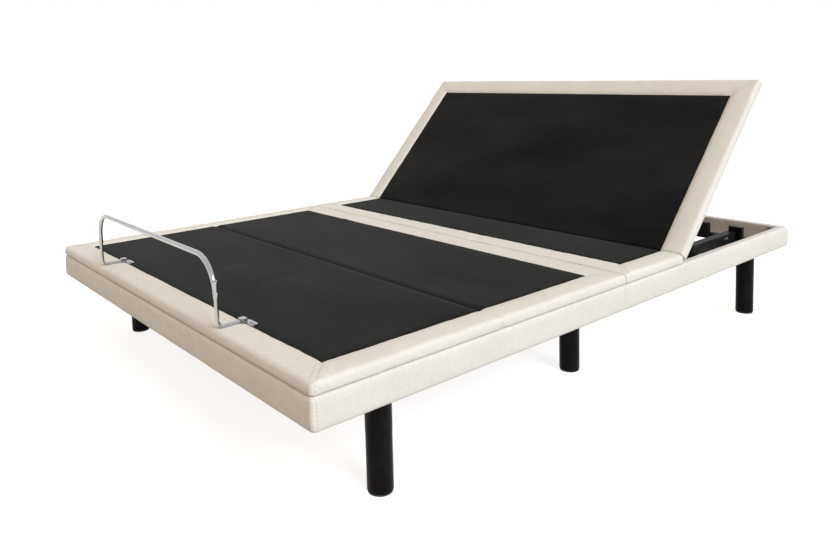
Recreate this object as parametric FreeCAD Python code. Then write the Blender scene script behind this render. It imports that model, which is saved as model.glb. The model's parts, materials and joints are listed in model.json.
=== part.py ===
"""Adjustable bed base, queen size: a padded frame on six legs that carries a
fixed seat panel, a head panel that tilts, and a thigh and a foot panel that
rise together.  Millimetres.  Origin on the floor under the middle of the bed,
+Y towards the head, +Z up.  The head panel is drawn flat and then tilted to
the angle at which the bed is stored."""

import FreeCAD, Part
import math
import os
from FreeCAD import Vector

# ---- overall sizes ---------------------------------------------------------
bed_width = 1520.0
bed_length = 2030.0
rail_bottom = 225.0        # floor clearance under the rails
rail_height = 72.0
rail_thickness = 28.0      # board with its padded cover
rail_board_thickness = 16.0
rail_board_height = 58.0
rail_board_end_gap = 6.0   # padding at the ends of the end rails' boards
edge_round = 10.0          # rounding of upholstered edges

# ---- deck ------------------------------------------------------------------
board_thickness = 15.0
pad_thickness = 12.0       # padding above the boards
pad_side = 6.0             # padding beside the boards
deck_lift = 0.6            # running gap between the rails and the deck
fold_gap = 1.0             # width of the slit at each fold
fold_padding = 5.0         # padding over a board's edge at a fold
foot_panel_length = 522.0  # from the foot end to the knee fold
seat_fold_y = 0.0          # fold between the thigh and the seat panel
head_fold_y = 297.0        # fold between the seat and the head panel
head_end_gap = 16.0        # lowered head panel to the head end of the rails

# ---- how far the panels go -------------------------------------------------
head_angle_stored = 46.5
head_angle_max = 60.0
thigh_angle_max = 35.0
fold_angle_spare = 1.5     # extra bevel at each fold, degrees

# ---- fold hinges -----------------------------------------------------------
hinge_pin_radius = 2.5
hinge_clearance = 0.05
knuckle_radius = 4.0
knuckle_seat_gap = 0.5     # knuckle to the board under it
leaf_thickness = 2.0
leaf_length = 35.0
leaf_start = 4.8           # where the full-width leaf begins
hinge_width = 60.0
knuckle_end_gap = 0.4
pocket_gap = 0.7           # padding cut back round a hinge
hinge_places = (-600.0, -220.0, 220.0, 600.0)

# ---- steel frame -----------------------------------------------------------
side_tube_inset = 115.0      # from the rails' inner faces
side_tube_width = 30.0
side_tube_height = 40.0
cross_tube_width = 30.0
cross_tube_height = 32.0
head_tube_height = 14.0      # the low one behind the rest posts
tube_wall = 2.5
frame_bottom = 238.0
split_tube_y = 65.0        # the two cross tubes each side of the split
thigh_tube_y = -260.0
head_tube_inset = 67.0       # from the head rail's inner face
seat_tube_y = 495.0
bracket_thickness = 4.0
bracket_height = 26.0
bracket_end_inset = 57.0     # first bracket from the foot rail
post_width = 48.0
post_depth = 20.0
post_outset = 12.0           # outer posts beyond the side tubes' middle
post_spacing = 124.0
corner_bracket_length = 32.0
corner_bracket_height = 14.0
frame_screw_radius = 4.5
post_top_gap = 2.0         # rest post to the lowered head panel

# ---- legs ------------------------------------------------------------------
leg_radius = 29.5
leg_joint_z = 134.0
glide_height = 4.0
glide_radius = 27.5
leg_plate_thickness = 6.0
leg_plate_width = 74.0
stud_radius = 5.0
nut_radius = 9.5
nut_height = 8.0
stud_depth = 30.0
foot_leg_side_inset = 80.0   # from the outside of the rails
foot_leg_end_inset = 216.0
head_leg_side_inset = 83.0
head_leg_end_inset = 150.0
mid_leg_inset = 54.0         # from the side tubes
mid_leg_y = 9.0

# ---- drives ----------------------------------------------------------------
drive_drop = 108.0         # push pins below the fold axes
drive_x = 120.0            # head drive at +x, leg drive at -x
push_pin_radius = 6.0
slot_side_gap = 3.6        # head lever slot, each side of the pin
leg_slot_side_gap = 1.2    # thigh lever slot, each side of the pin
slot_end_gap = 1.0
lever_rim = 11.0
lever_thickness = 5.0
lever_arm_start = 46.0     # below the fold axis
rod_eye_width = 22.0
rod_eye_radius = 13.0
rod_radius = 9.0
rod_clearance = 0.05
rod_in_housing = 60.0      # rod left inside when it is pushed right out
housing_width = 38.0
housing_height = 40.0
head_housing_tail_y = -280.0
head_housing_nose_y = 205.0
leg_housing_nose_y = 58.0
leg_housing_tail_y = 512.0
motor_radius = 26.0
motor_length = 92.0

# ---- parallel links that keep the foot panel level -------------------------
link_x = 480.0
link_drop = 38.0           # link pivots below the fold axes
link_height = 12.0
link_thickness = 6.0
link_eye_radius = 9.0
link_pin_radius = 5.0
link_pin_clearance = 0.05
open_pivot_clearance = 0.6  # the pivot on the foot panel
link_brace_radius = 7.0

# ---- massage motors --------------------------------------------------------
massage_width = 165.0
massage_length = 140.0
massage_height = 40.0
massage_flange = 14.0
head_massage_y = 400.0     # from the head fold, along the panel
foot_massage_offset = 202.0   # from the knee fold, along the panel

# ---- mattress retainer -----------------------------------------------------
bar_x = 381.0              # uprights, from the middle of the bar
bar_middle_x = -8.0
bar_y = 6.0                # from the foot end of the deck
bar_top = 167.0            # above the deck
bar_radius = 6.0
bar_left_bend = 62.0
bar_right_bend = 88.0
bar_foot_radius = 5.0
bar_foot_bend = 16.0
bar_joint = 72.0           # above the deck, where bow and feet meet
bar_spigot = 40.0
bar_foot_reach = 58.0
bar_plate_length = 46.0
bar_plate_width = 18.0
bar_plate_thickness = 3.0
bar_screw_radius = 4.0
bar_screw_height = 2.0
button_radius = 2.5

# ---- electrics -------------------------------------------------------------
box_size = (210.0, 120.0, 38.0)
supply_size = (150.0, 70.0, 36.0)
inlet_size = (28.0, 6.0, 20.0)

# ---- worked out from the sizes above ---------------------------------------
half_width = bed_width / 2
half_length = bed_length / 2
rail_top = rail_bottom + rail_height
board_bottom = rail_top + deck_lift
board_top = board_bottom + board_thickness
deck_top = board_top + pad_thickness
axis_z = board_top + knuckle_seat_gap + knuckle_radius
rail_inner_x = half_width - rail_thickness
rail_inner_y = half_length - rail_thickness
head_length = half_length - head_end_gap - head_fold_y
knee_y = foot_panel_length - half_length
foot_massage_y = knee_y - foot_massage_offset
side_tube_x = rail_inner_x - side_tube_inset
head_tube_y = rail_inner_y - head_tube_inset
foot_leg_x = half_width - foot_leg_side_inset
foot_leg_y = foot_leg_end_inset - half_length
mid_leg_x = side_tube_x - mid_leg_inset
head_leg_x = half_width - head_leg_side_inset
head_leg_y = half_length - head_leg_end_inset
frame_top = frame_bottom + side_tube_height
post_back_y = head_tube_y - cross_tube_width / 2
post_front_y = post_back_y - post_depth
leg_top = frame_bottom - leg_plate_thickness
drive_z = axis_z - drive_drop
head_mid_angle = head_angle_max / 2
thigh_mid_angle = thigh_angle_max / 2
head_pin_y = head_fold_y + drive_drop * math.tan(math.radians(head_angle_stored - head_mid_angle))
leg_pin_y = seat_fold_y + drive_drop * math.tan(math.radians(thigh_mid_angle))
foot_end_y = -half_length
bar_plane_y = foot_end_y + bar_y

X = Vector(1, 0, 0)
Y = Vector(0, 1, 0)
Z = Vector(0, 0, 1)


# ---- small shape helpers ---------------------------------------------------
def box(x0, x1, y0, y1, z0, z1):
    return Part.makeBox(x1 - x0, y1 - y0, z1 - z0, Vector(x0, y0, z0))


def rod(radius, start, direction, length):
    return Part.makeCylinder(radius, length, Vector(*start), direction)


def joined(shapes):
    first, rest = shapes[0], shapes[1:]
    return first.fuse(rest).removeSplitter() if rest else first


def mirrored(shape):
    return shape.mirror(Vector(0, 0, 0), X)


def both_sides(shape):
    return [shape, mirrored(shape)]


def plate_yz(points, x0, thickness):
    """A flat plate across the bed: an outline in (y, z), thickened along x."""
    corners = [Vector(x0, y, z) for y, z in points]
    face = Part.Face(Part.makePolygon(corners + corners[:1]))
    return face.extrude(X * thickness)


def edges_where(shape, test):
    return [edge for edge in shape.Edges if test(edge)]


def box_edge(edge):
    """Middle and direction of a straight edge of a box."""
    start, end = edge.Vertexes[0].Point, edge.Vertexes[-1].Point
    return (start + end) * 0.5, (end - start).normalize()


def save(name, shapes):
    shape = shapes[0] if len(shapes) == 1 else Part.makeCompound(shapes)
    shape.exportStep(os.path.join("parts", name + ".step"))


# ---- rails -----------------------------------------------------------------
def rail(x0, x1, y0, y1, outer):
    """A padded rail: its cover, and the board that runs through it."""
    along_x = (x1 - x0) > (y1 - y0)
    inset = (rail_thickness - rail_board_thickness) / 2
    rise = (rail_height - rail_board_height) / 2
    z0, z1 = rail_bottom + rise, rail_top - rise
    if along_x:
        channel = box(x0, x1, y0 + inset, y1 - inset, z0, z1)
        board = box(x0 + rail_board_end_gap, x1 - rail_board_end_gap, y0 + inset, y1 - inset, z0, z1)
    else:
        board = box(x0 + inset, x1 - inset, y0, y1, z0, z1)
        channel = board
    body = box(x0, x1, y0, y1, rail_bottom, rail_top)

    def rounded(edge):
        middle, direction = box_edge(edge)
        return outer(middle, direction)

    body = body.makeFillet(min(edge_round, inset * 1.5), edges_where(body, rounded))
    return body.cut(channel), board


def end_rail(side):
    """Rail across one end, with its outer vertical corners rounded."""
    y0, y1 = sorted((side * half_length, side * rail_inner_y))

    def outer(middle, direction):
        at_end = abs(abs(middle.y) - half_length) < 0.1
        return at_end and (abs(direction.z) > 0.9 or abs(direction.x) > 0.9)

    return rail(-half_width, half_width, y0, y1, outer)


def side_rail(y0, y1):
    """One half of the rail along the +x side."""
    def outer(middle, direction):
        return abs(direction.y) > 0.9 and middle.x > half_width - 0.1

    return rail(rail_inner_x, half_width, y0, y1, outer)


def make_rails():
    boards = []
    for name, side in (("foot_end_rail_cover", -1), ("head_end_rail_cover", 1)):
        cover, board = end_rail(side)
        save(name, [cover])
        boards.append(board)
    for name, y0, y1 in (
        ("foot_rail_cover", -rail_inner_y, seat_fold_y),
        ("head_rail_cover", seat_fold_y, rail_inner_y),
    ):
        cover, board = side_rail(y0, y1)
        save("right_" + name, [cover])
        save("left_" + name, [mirrored(cover)])
        boards += both_sides(board)
    save("rail_boards", boards)


# ---- deck panels -----------------------------------------------------------
def fold_wedge(fold_y, half_angle, upward):
    """The V cut away at a fold, from its axis to beyond the panel's face."""
    reach = 60.0
    spread = reach * math.tan(math.radians(half_angle + fold_angle_spare))
    z_end = axis_z + reach if upward else axis_z - reach
    outline = [(fold_y, axis_z), (fold_y - spread, z_end), (fold_y + spread, z_end)]
    return plate_yz(outline, -half_width - 1, bed_width + 2)


def deck_board(y0, y1):
    return box(
        -half_width + pad_side, half_width - pad_side, y0, y1, board_bottom, board_top
    )


def deck_pad(y0, y1, free_ends):
    """Padding over a board, wrapped down its sides and over its free ends."""
    pad = box(-half_width, half_width, y0, y1, board_bottom, deck_top)

    def rounded(edge):
        middle, direction = box_edge(edge)
        at_free_end = any(abs(middle.y - end) < 0.1 for end in free_ends)
        on_top = middle.z > deck_top - 0.1
        return (on_top and (abs(direction.y) > 0.9 or at_free_end)) or (
            at_free_end and abs(direction.z) > 0.9
        )

    return pad.makeFillet(edge_round, edges_where(pad, rounded))


def hinge_pockets(fold_y, side):
    """Room in the padding for the leaves and knuckles on one side of a fold."""
    pockets = []
    half = hinge_width / 2 + pocket_gap
    for x in hinge_places:
        leaf_end = fold_y + side * (leaf_length + pocket_gap)
        knuckle_end = fold_y + side * (knuckle_radius + 2 * pocket_gap)
        y0, y1 = sorted((fold_y - side, leaf_end))
        pockets.append(
            box(x - half, x + half, y0, y1, board_top, board_top + leaf_thickness + pocket_gap)
        )
        y0, y1 = sorted((fold_y - side, knuckle_end))
        pockets.append(box(x - half, x + half, y0, y1, board_top, deck_top + 1))
    return pockets


def make_panel(y0, y1, folds):
    """Board and padding from y0 to y1; folds lists (fold y, half angle, upward)."""
    near_fold = {fold[0] for fold in folds}
    ends = {}
    for y, side in ((y0, 1), (y1, -1)):
        ends[y] = y + side * fold_gap / 2 if y in near_fold else y
    board_ends = [
        y + side * (fold_padding if y in near_fold else pad_side) for y, side in ((y0, 1), (y1, -1))
    ]
    board = deck_board(*board_ends)
    pad = deck_pad(ends[y0], ends[y1], [y for y in (y0, y1) if y not in near_fold])
    pad = pad.cut(board)
    for fold_y, half_angle, upward in folds:
        wedge = fold_wedge(fold_y, half_angle, upward)
        board = board.cut(wedge)
        side = 1 if fold_y == y0 else -1
        pad = pad.cut([wedge] + hinge_pockets(fold_y, side))
    return board, pad


# ---- fold hinges -----------------------------------------------------------
def knuckle(x0, x1, fold_y, side):
    """One knuckle with the tab that joins it to its leaf."""
    barrel = rod(knuckle_radius, (x0, fold_y, axis_z), X, x1 - x0)
    y0, y1 = sorted((fold_y, fold_y + side * leaf_start))
    tab = box(x0, x1, y0, y1, board_top, board_top + leaf_thickness)
    return joined([barrel, tab])


def hinge_leaf(x, fold_y, side, outer):
    """A leaf on the board: two outer knuckles, or the one between them."""
    third = hinge_width / 3
    if outer:
        spans = [(x - 1.5 * third, x - 0.5 * third), (x + 0.5 * third, x + 1.5 * third)]
    else:
        spans = [(x - 0.5 * third + knuckle_end_gap, x + 0.5 * third - knuckle_end_gap)]
    y0, y1 = sorted((fold_y + side * leaf_start, fold_y + side * leaf_length))
    half = hinge_width / 2
    parts = [box(x - half, x + half, y0, y1, board_top, board_top + leaf_thickness)]
    parts += [knuckle(x0, x1, fold_y, side) for x0, x1 in spans]
    bore = rod(
        hinge_pin_radius + hinge_clearance, (x - half - 1, fold_y, axis_z), X, hinge_width + 2
    )
    return joined(parts).cut(bore)


def hinge_leaves(fold_y, side, outer):
    return [hinge_leaf(x, fold_y, side, outer) for x in hinge_places]


def hinge_pins(fold_y):
    half = hinge_width / 2
    return [rod(hinge_pin_radius, (x - half, fold_y, axis_z), X, hinge_width) for x in hinge_places]


# ---- steel frame -----------------------------------------------------------
def tube_along_y(x, y0, y1):
    half = side_tube_width / 2
    outer = box(x - half, x + half, y0, y1, frame_bottom, frame_top)
    wall = tube_wall
    hollow = box(
        x - half + wall, x + half - wall, y0, y1, frame_bottom + wall, frame_top - wall
    )
    return outer.cut(hollow)


def cross_tube(y, reach=side_tube_x - side_tube_width / 2, height=cross_tube_height):
    """A square-cut tube, by default between the inner faces of the side tubes."""
    half = cross_tube_width / 2
    top = frame_bottom + height
    outer = box(-reach, reach, y - half, y + half, frame_bottom, top)
    wall = tube_wall
    hollow = box(
        -reach, reach, y - half + wall, y + half - wall, frame_bottom + wall, top - wall
    )
    return outer.cut(hollow)


def rail_bracket(y):
    """A folded steel bracket from a side tube to the rail beside it."""
    x0, x1 = side_tube_x + side_tube_width / 2, rail_inner_x
    t = bracket_thickness
    web = box(x0, x1, y - 30, y + 30, frame_bottom, frame_bottom + t)
    tube_flange = box(x0, x0 + t, y - 30, y + 30, frame_bottom, frame_bottom + bracket_height)
    rail_flange = box(x1 - t, x1, y - 30, y + 30, frame_bottom, frame_bottom + bracket_height)
    screws = [
        rod(frame_screw_radius, (x0 + t, y + dy, frame_bottom + 17), X, 2.5) for dy in (-16, 16)
    ]
    return joined([web, tube_flange, rail_flange] + screws)


def rest_post(x):
    """An upright on the foot-facing side of the head tube, under the head panel."""
    half = post_width / 2
    top = board_bottom - post_top_gap
    post = box(x - half, x + half, post_front_y, post_back_y, frame_bottom, top)
    return post.makeFillet(2.0, edges_where(post, lambda e: abs(box_edge(e)[1].z) > 0.9))


def corner_bracket(x_side, y_side):
    """A small steel angle inside a corner of the rails."""
    length, t = corner_bracket_length, 2.5
    low = rail_top - 7 - corner_bracket_height
    legs = []
    for dx, dy in ((t, length), (length, t)):
        x0, x1 = sorted((x_side * rail_inner_x, x_side * (rail_inner_x - dx)))
        y0, y1 = sorted((y_side * rail_inner_y, y_side * (rail_inner_y - dy)))
        legs.append(box(x0, x1, y0, y1, low, low + corner_bracket_height))
    return joined(legs)


def make_frame():
    cut = 0.5
    halves = ((-rail_inner_y, seat_fold_y - cut), (seat_fold_y + cut, post_front_y))
    side_tubes = []
    for y0, y1 in halves:
        side_tubes += both_sides(tube_along_y(side_tube_x, y0, y1))
    save("side_tubes", side_tubes)
    save("foot_cross_tubes", [cross_tube(foot_leg_y), cross_tube(thigh_tube_y)])
    save("split_cross_tubes", [cross_tube(-split_tube_y), cross_tube(split_tube_y)])
    outer_post_x = side_tube_x + post_outset
    post_reach = outer_post_x + post_width / 2
    head_tube = cross_tube(head_tube_y, post_reach, head_tube_height)
    save("head_cross_tubes", [cross_tube(seat_tube_y), head_tube])
    brackets = []
    for y in (bracket_end_inset - rail_inner_y, -420, -110, 110, 420, 600):
        brackets += both_sides(rail_bracket(y))
    save("rail_brackets", brackets)
    posts = []
    for x in (outer_post_x - post_spacing, outer_post_x):
        posts += both_sides(rest_post(x))
    save("head_rest_posts", posts)
    tube_face = side_tube_x + side_tube_width / 2
    screws = []
    for dy in (65, 78):
        spot = (tube_face, post_front_y - dy, frame_top - 12)
        screws += both_sides(rod(frame_screw_radius, spot, X, 2.0))
    save("frame_screws", screws)
    save("corner_brackets", [corner_bracket(i, j) for i in (-1, 1) for j in (-1, 1)])


# ---- legs ------------------------------------------------------------------
def leg_spots():
    spots = []
    for x, y in ((foot_leg_x, foot_leg_y), (mid_leg_x, mid_leg_y), (head_leg_x, head_leg_y)):
        spots += [(x, y), (-x, y)]
    return spots


def leg_plate(x, y):
    """Steel plate under the tubes that takes a leg's stud."""
    half = leg_plate_width / 2
    if abs(x) < side_tube_x - side_tube_width:
        reach = split_tube_y + cross_tube_width / 2
        plate = box(x - half, x + half, -reach, reach, leg_top, frame_bottom)
    else:
        tube_face = side_tube_x - side_tube_width / 2
        x0, x1 = sorted((math.copysign(tube_face, x), x + math.copysign(half, x)))
        plate = box(x0, x1, y - half, y + half, leg_top, frame_bottom)
    return plate.cut(rod(stud_radius + 0.05, (x, y, leg_top - 1), Z, leg_plate_thickness + 2))


def leg_stud(x, y):
    stud = rod(stud_radius, (x, y, leg_top - stud_depth), Z, stud_depth + leg_plate_thickness)
    nut = rod(nut_radius, (x, y, frame_bottom), Z, nut_height)
    return joined([stud, nut])


def upper_leg(x, y):
    leg = rod(leg_radius, (x, y, leg_joint_z), Z, leg_top - leg_joint_z)
    bore = rod(stud_radius + 0.05, (x, y, leg_top - stud_depth - 1), Z, stud_depth + 2)
    socket = rod(14.05, (x, y, leg_joint_z - 1), Z, 21)
    return leg.cut([bore, socket])


def lower_leg(x, y):
    leg = rod(leg_radius - 0.4, (x, y, glide_height), Z, leg_joint_z - glide_height)
    spigot = rod(14.0, (x, y, leg_joint_z - 1), Z, 19)
    leg = leg.makeFillet(1.5, edges_where(leg, lambda e: e.CenterOfMass.z < glide_height + 0.1))
    return joined([leg, spigot])


def make_legs():
    spots = leg_spots()
    save("leg_plates", [leg_plate(x, y) for x, y in spots])
    save("leg_studs", [leg_stud(x, y) for x, y in spots])
    save("upper_legs", [upper_leg(x, y) for x, y in spots])
    save("lower_legs", [lower_leg(x, y) for x, y in spots])
    save("leg_glides", [rod(glide_radius, (x, y, 0), Z, glide_height) for x, y in spots])


# ---- drives ----------------------------------------------------------------
def drive_lever(x, fold_y, side, mid_angle, side_gap):
    """Two slotted plates under a panel; the drive's push pin runs in the slots."""
    tilt = math.radians(mid_angle)
    near = drive_drop
    far = drive_drop / math.cos(tilt)
    outer_x = rod_eye_width / 2 + 1.0
    # the slot points down and back past the fold while the panel is flat
    down = Vector(0, -side * math.sin(tilt), -math.cos(tilt))
    across = Vector(0, math.cos(tilt), -side * math.sin(tilt))
    slot_half = push_pin_radius + side_gap
    rim = slot_half + lever_rim
    pivot = Vector(0, fold_y, axis_z)

    def at(along, sideways):
        point = pivot + down * along + across * (side * sideways)
        return point.y, point.z

    start = near - push_pin_radius - slot_end_gap
    end = far + push_pin_radius + slot_end_gap
    foot = board_bottom
    outline = [
        (fold_y + side * 22, foot),
        (fold_y + side * 130, foot),
        (fold_y + side * 130, foot - 12),
        at(lever_arm_start, rim),
        at(end + lever_rim, rim),
        at(end + lever_rim, -rim),
        at(start - lever_rim, -rim),
    ]
    slot = [at(start, slot_half), at(end, slot_half), at(end, -slot_half), at(start, -slot_half)]
    plates = []
    for x0 in (x + outer_x, x - outer_x - lever_thickness):
        plate = plate_yz(outline, x0, lever_thickness)
        plates.append(plate.cut(plate_yz(slot, x0 - 1, lever_thickness + 2)))
    y0, y1 = sorted((fold_y + side * 34, fold_y + side * 130))
    tie = box(x - outer_x, x + outer_x, y0, y1, foot - lever_thickness, foot)
    return joined(plates + [tie])


def drive_rod(x, nose_y, pin_y, spare_travel, side):
    """Round push rod with an eye block; side is the way it pushes."""
    eye_back = rod_eye_radius
    start = nose_y - side * (rod_in_housing + spare_travel)
    length = abs(pin_y - side * eye_back - start)
    shaft = rod(rod_radius, (x, start, drive_z), Y * side, length + 4)
    half = rod_eye_width / 2
    y0, y1 = sorted((pin_y - side * eye_back, pin_y))
    block = box(x - half, x + half, y0, y1, drive_z - eye_back, drive_z + eye_back)
    eye = rod(rod_eye_radius, (x - half, pin_y, drive_z), X, rod_eye_width)
    bore = rod(push_pin_radius, (x - half - 1, pin_y, drive_z), X, rod_eye_width + 2)
    return joined([shaft, block, eye]).cut(bore)


def push_pin(x, pin_y):
    reach = rod_eye_width / 2 + 1.0 + lever_thickness + 3.0
    return rod(push_pin_radius, (x - reach, pin_y, drive_z), X, 2 * reach)


def drive_housing(x, nose_y, tail_y, shaft_start_y):
    """Housing bored for the push rod, with clear room behind the rod."""
    half = housing_width / 2
    top = drive_z + housing_height / 2
    bottom = drive_z - housing_height / 2
    y0, y1 = sorted((nose_y, tail_y))
    body = box(x - half, x + half, y0, y1, bottom, top)
    body = body.makeFillet(4.0, edges_where(body, lambda e: abs(box_edge(e)[1].y) > 0.9))
    side = 1 if nose_y > tail_y else -1
    bore_start = shaft_start_y - side * 8
    length = abs(nose_y - bore_start) + 1
    return body.cut(rod(rod_radius + rod_clearance, (x, bore_start, drive_z), Y * side, length))


def drive_motor(x, y):
    """Gear motor on the outer side of a housing."""
    side = 1 if x > 0 else -1
    start = x + side * housing_width / 2
    flange = rod(motor_radius, (start, y, drive_z), X * side, 12)
    can = rod(motor_radius - 4, (start + side * 12, y, drive_z), X * side, motor_length - 12)
    return joined([flange, can])


def saddle(x, y):
    """Block that bolts a housing up under a cross tube."""
    half = housing_width / 2
    top = drive_z + housing_height / 2
    return box(x - half, x + half, y - 13, y + 13, top, frame_bottom)


def make_drives():
    x = drive_x
    head_travel_back = head_pin_y - head_fold_y + drive_drop * math.tan(math.radians(head_mid_angle))
    save("head_drive_rod", [drive_rod(x, head_housing_nose_y, head_pin_y, 0, 1)])
    save("head_push_pin", [push_pin(x, head_pin_y)])
    save("head_drive_housing", [
        drive_housing(
            x, head_housing_nose_y, head_housing_tail_y,
            head_housing_nose_y - rod_in_housing - head_travel_back
        )
    ])
    leg_travel = 2 * (leg_pin_y - seat_fold_y)
    save("leg_drive_rod", [drive_rod(-x, leg_housing_nose_y, leg_pin_y, leg_travel, -1)])
    save("leg_push_pin", [push_pin(-x, leg_pin_y)])
    save("leg_drive_housing", [
        drive_housing(
            -x, leg_housing_nose_y, leg_housing_tail_y,
            leg_housing_nose_y + rod_in_housing + leg_travel
        )
    ])
    save("drive_motors", [drive_motor(x, -180), drive_motor(-x, 410)])
    save("drive_saddles", [
        saddle(x, thigh_tube_y), saddle(x, -split_tube_y), saddle(x, split_tube_y),
        saddle(-x, split_tube_y), saddle(-x, seat_tube_y),
    ])


# ---- parallel links --------------------------------------------------------
def link_bar(x):
    z = axis_z - link_drop
    half = link_height / 2
    bar = box(x, x + link_thickness, knee_y, seat_fold_y, z - half, z + half)
    eyes = [rod(link_eye_radius, (x, y, z), X, link_thickness) for y in (knee_y, seat_fold_y)]
    bores = [
        rod(link_pin_radius + link_pin_clearance, (x - 1, seat_fold_y, z), X, link_thickness + 2),
        rod(link_pin_radius + open_pivot_clearance, (x - 1, knee_y, z), X, link_thickness + 2),
    ]
    return joined([bar] + eyes).cut(bores)


def root_link_bracket(x):
    """Arm from the head-side split tube to the pivot under the thigh fold."""
    z = axis_z - link_drop
    tube_top = frame_bottom + cross_tube_height
    tube_face = split_tube_y + cross_tube_width / 2
    x0, x1 = x - 8.0, x - 1.0
    outline = [
        (seat_fold_y - 12, z - 10), (seat_fold_y + 20, z - 10), (30.0, tube_top),
        (tube_face, tube_top), (tube_face, z + 10), (seat_fold_y - 12, z + 10),
    ]
    pin = rod(link_pin_radius, (x0, seat_fold_y, z), X, 8.0 + link_thickness + 4)
    return joined([plate_yz(outline, x0, x1 - x0), pin])


def foot_link_bracket(x):
    """Plate under the foot panel with the pin of the open pivot."""
    z = axis_z - link_drop
    x0, x1 = x - 8.0, x - 1.0
    outline = [
        (knee_y - 60, board_bottom), (knee_y - 14, board_bottom), (knee_y + 7, z + 4),
        (knee_y + 7, z - 8), (knee_y - 8, z - 8), (knee_y - 60, board_bottom - 8),
    ]
    pin = rod(link_pin_radius, (x0, knee_y, z), X, 8.0 + link_thickness + 4)
    return joined([plate_yz(outline, x0, x1 - x0), pin])


def make_links():
    z = axis_z - link_drop
    save("parallel_links", both_sides(link_bar(link_x)))
    brace_y = (knee_y + thigh_tube_y) / 2
    save("link_brace", [rod(link_brace_radius, (-link_x, brace_y, z), X, 2 * link_x)])
    save("link_frame_brackets", both_sides(root_link_bracket(link_x)))
    save("link_panel_brackets", both_sides(foot_link_bracket(link_x)))


# ---- massage motors --------------------------------------------------------
def massage_motor(y):
    w, l = massage_width / 2, massage_length / 2
    low = board_bottom - massage_height
    body = box(-w, w, y - l, y + l, low, board_bottom - 3)
    body = body.makeFillet(12.0, edges_where(body, lambda e: abs(box_edge(e)[1].z) > 0.9))
    f = massage_flange
    flange = box(-w - f, w + f, y - l - f, y + l + f, board_bottom - 3, board_bottom)
    return joined([body, flange])


# ---- mattress retainer -----------------------------------------------------
def swept(radius, points, bends):
    """A round bar along straight runs, with a bend of its own at each corner."""
    places = [Vector(*p) for p in points]
    edges = []
    start = places[0]
    for before, corner, after, bend in zip(places, places[1:], places[2:], bends):
        back = (before - corner).normalize()
        ahead = (after - corner).normalize()
        half = math.acos(max(-1, min(1, back.dot(ahead)))) / 2
        trim = bend / math.tan(half)
        a, b = corner + back * trim, corner + ahead * trim
        middle_way = (back + ahead).normalize()
        top = corner + middle_way * (bend / math.sin(half) - bend)
        edges.append(Part.LineSegment(start, a).toShape())
        edges.append(Part.Arc(a, top, b).toShape())
        start = b
    edges.append(Part.LineSegment(start, places[-1]).toShape())
    path = Part.Wire(edges)
    direction = (places[1] - places[0]).normalize()
    section = Part.Wire(Part.makeCircle(radius, places[0], direction))
    return path.makePipeShell([section], True, True)


def make_retainer():
    y, top = bar_plane_y, deck_top + bar_top - bar_radius
    joint = deck_top + bar_joint
    left, right = bar_middle_x - bar_x, bar_middle_x + bar_x
    bow = swept(bar_radius, [
        (left, y, joint), (left, y, top), (right, y, top), (right, y, joint)
    ], [bar_left_bend, bar_right_bend])
    sockets = [
        rod(bar_foot_radius + 0.05, (x, y, joint - 1), Z, bar_spigot + 2) for x in (left, right)
    ]
    holes = [
        rod(button_radius + 0.1, (x, y - bar_radius - 1, joint + 12), Y, bar_radius + 1)
        for x in (left, right)
    ]
    save("retainer_bow", [bow.cut(sockets + holes)])
    low = deck_top + bar_foot_radius + 0.4
    reach = y + bar_foot_reach
    plates = []
    for name, x in (("left", left), ("right", right)):
        upright = swept(bar_foot_radius, [
            (x, y, joint + bar_spigot), (x, y, low), (x, reach, low)
        ], [bar_foot_bend])
        button = rod(button_radius, (x, y - bar_radius - 0.8, joint + 12), Y, bar_radius)
        save(name + "_retainer_foot", [joined([upright, button])])
        x0, x1 = x - bar_plate_width / 2, x - bar_plate_width / 2 + bar_plate_length
        y0, y1 = reach - bar_plate_width / 2, reach + bar_plate_width / 2
        plate = box(x0, x1, y0 + bar_plate_width, y1 + bar_plate_width,
                    deck_top, deck_top + bar_plate_thickness)
        corner = bar_plate_width / 2 - 0.5
        plate = plate.makeFillet(corner, edges_where(plate, lambda e: abs(box_edge(e)[1].z) > 0.9))
        clip = box(x - 9, x + 9, reach - 2, y0 + bar_plate_width + 4, deck_top,
                   deck_top + 2 * bar_foot_radius + 3)
        grip = rod(bar_foot_radius + 0.4, (x, reach - 3, low), Y, 3 + 2)
        plates.append(joined([plate, clip]).cut(grip))
    save("retainer_clips", plates)
    screws = []
    for x in (left, right):
        for shift in (16, 28):
            screws.append(rod(
                bar_screw_radius, (x + shift, reach + bar_plate_width, deck_top + bar_plate_thickness),
                Z, bar_screw_height
            ))
    save("retainer_screws", screws)


# ---- electrics -------------------------------------------------------------
def make_electrics():
    face = split_tube_y + cross_tube_width / 2
    w, l, h = box_size
    low = frame_bottom
    case = box(-400, -400 + w, face, face + l, low, low + h)
    save("control_box", [case.makeFillet(5, edges_where(case, lambda e: abs(box_edge(e)[1].z) > 0.9))])
    w, l, h = supply_size
    supply = box(240, 240 + w, face, face + l, low, low + h)
    iw, il, ih = inlet_size
    middle = 240 + w / 2
    recess = box(middle - iw / 2, middle + iw / 2, face + l - il, face + l, low + 6, low + 6 + ih)
    save("power_supply", [supply.cut(recess)])
    wall = 1.5
    liner = recess.cut(box(
        middle - iw / 2 + wall, middle + iw / 2 - wall, face + l - il + wall, face + l + 1,
        low + 6 + wall, low + 6 + ih - wall
    ))
    save("mains_inlet", [liner])


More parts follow.
